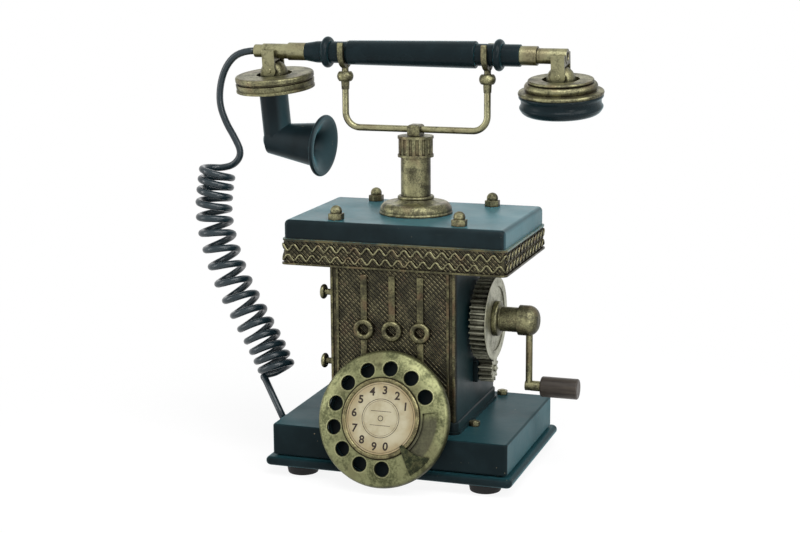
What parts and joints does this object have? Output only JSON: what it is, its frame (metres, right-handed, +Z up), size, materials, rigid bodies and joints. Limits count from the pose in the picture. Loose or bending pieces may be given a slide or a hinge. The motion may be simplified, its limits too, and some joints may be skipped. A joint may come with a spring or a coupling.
{
  "type": "desk telephone",
  "caption": "Antique desk telephone: plinth, upright body with lid, column and cradle, handset with mouth horn, finger dial, geared hand crank and curly cord.",
  "frame": {"origin": "on the table, under the axis of the cradle column", "axes": "+X towards the hand crank, +Y to the back, +Z up"},
  "size_m": [0.246, 0.1302, 0.2506],
  "materials": {
    "black_paint": "near-black blue-green enamel, half gloss, rubbed at the edges",
    "aged_brass": "antique olive-gold brass with dark patina",
    "woven_bronze": "dark bronze with fine diagonal ridges",
    "bare_steel": "bare steel",
    "magnet_steel": "dark magnet steel",
    "bell_steel": "nickelled bell metal",
    "coil_copper": "lacquered copper winding",
    "foot_rubber": "black rubber",
    "cord_black": "smooth black cord, soft gloss",
    "parchment_card": "yellowed printed card",
    "carbon_black": "pressed carbon",
    "brown_wood": "dark brown turned wood"
  },
  "bodies": {
    "base": {"base_casing": "black_paint", "bottom_plate": "bare_steel", "rubber_feet": "foot_rubber", "foot_screws": "bare_steel", "base_nuts": "aged_brass", "body_case": "black_paint", "front_panel": "woven_bronze", "side_strips": "aged_brass", "ring_bars": "aged_brass", "thumb_screws": "aged_brass", "lid_frame": "woven_bronze", "lid_lip": "aged_brass", "wave_wires": "aged_brass", "lid_top": "black_paint", "acorn_nuts": "aged_brass", "column_base": "aged_brass", "column_tube": "aged_brass", "fluted_collar": "aged_brass", "shaft_bush": "aged_brass", "pinion_bearing": "black_paint", "magneto_magnets": "magnet_steel", "magneto_frame": "magnet_steel", "gongs": "bell_steel", "ringer_coils": "coil_copper", "induction_coil": "coil_copper", "hook_switch": "bare_steel", "dial_case": "black_paint", "number_card": "parchment_card", "card_bezel": "aged_brass", "finger_stop": "aged_brass", "cord_grommet": "foot_rubber", "cord_tail": "cord_black", "curly_cord": "cord_black"},
    "cradle": {"cradle_rod": "aged_brass", "saddle_block": "aged_brass", "left_fork": "aged_brass", "right_fork": "aged_brass"},
    "handset": {"handle_core": "bare_steel", "grip_sleeve": "black_paint", "dark_collars": "black_paint", "bead_rings": "black_paint", "ferrules": "aged_brass", "transmitter_clevis": "aged_brass", "receiver_clevis": "aged_brass", "cord_lead": "cord_black"},
    "transmitter": {"transmitter_cup": "aged_brass", "mouthpiece": "black_paint", "carbon_capsule": "carbon_black"},
    "receiver": {"receiver_shell": "aged_brass", "ear_cap": "black_paint", "receiver_magnet": "magnet_steel"},
    "crank": {"crank_gear": "aged_brass", "crank_shaft": "bare_steel", "crank_hub": "aged_brass", "crank_arm": "aged_brass"},
    "grip": {"crank_grip": "brown_wood"},
    "pinion": {"pinion": "aged_brass", "armature": "coil_copper"},
    "dial": {"finger_wheel": "aged_brass"},
    "hammer": {"ringer_hammer": "bell_steel"}
  },
  "joints": [
    {"name": "handset_lift", "type": "slide", "parent": "base", "child": "handset", "axis": [0, 0, 1], "range_m": [0, 0.06], "deforming": ["curly_cord"]},
    {"name": "hook_rise", "type": "slide", "parent": "base", "child": "cradle", "axis": [0, 0, 1], "range_m": [0, 0.005]},
    {"name": "transmitter_tilt", "type": "hinge", "parent": "handset", "child": "transmitter", "pos_m": [-0.0886, 0.00119, 0.23107], "axis": [0, 0.9936, 0.1132], "range_deg": [-9.5, 7.5]},
    {"name": "receiver_tilt", "type": "hinge", "parent": "handset", "child": "receiver", "pos_m": [0.0852, 0.00119, 0.23107], "axis": [0, 0.9936, 0.1132], "range_deg": [-10, 10]},
    {"name": "crank_turn", "type": "hinge", "parent": "base", "child": "crank", "pos_m": [0.045, -0.0034, 0.0897], "axis": [1, 0, 0], "continuous": true},
    {"name": "grip_spin", "type": "hinge", "parent": "crank", "child": "grip", "pos_m": [0.085, -0.0034, 0.051], "axis": [1, 0, 0], "continuous": true},
    {"name": "pinion_spin", "type": "hinge", "parent": "base", "child": "pinion", "pos_m": [0.045, -0.0034, 0.0598], "axis": [1, 0, 0], "continuous": true},
    {"name": "dial_turn", "type": "hinge", "parent": "base", "child": "dial", "pos_m": [0, -0.0656, 0.0426], "axis": [0, 0.9455, -0.3256], "range_deg": [0, 320], "stiffness_Nm_per_rad": 0.004, "springref_deg": -22.92},
    {"name": "hammer_swing", "type": "hinge", "parent": "base", "child": "hammer", "pos_m": [0, -0.001, 0.021], "axis": [0, 0, 1], "range_deg": [-5, 5], "stiffness_Nm_per_rad": 0.004}
  ],
  "couplings": [
    {"joint": "hook_rise", "follows": "handset_lift", "ratio": 0.083333},
    {"joint": "pinion_spin", "follows": "crank_turn", "ratio": -3.3333}
  ]
}
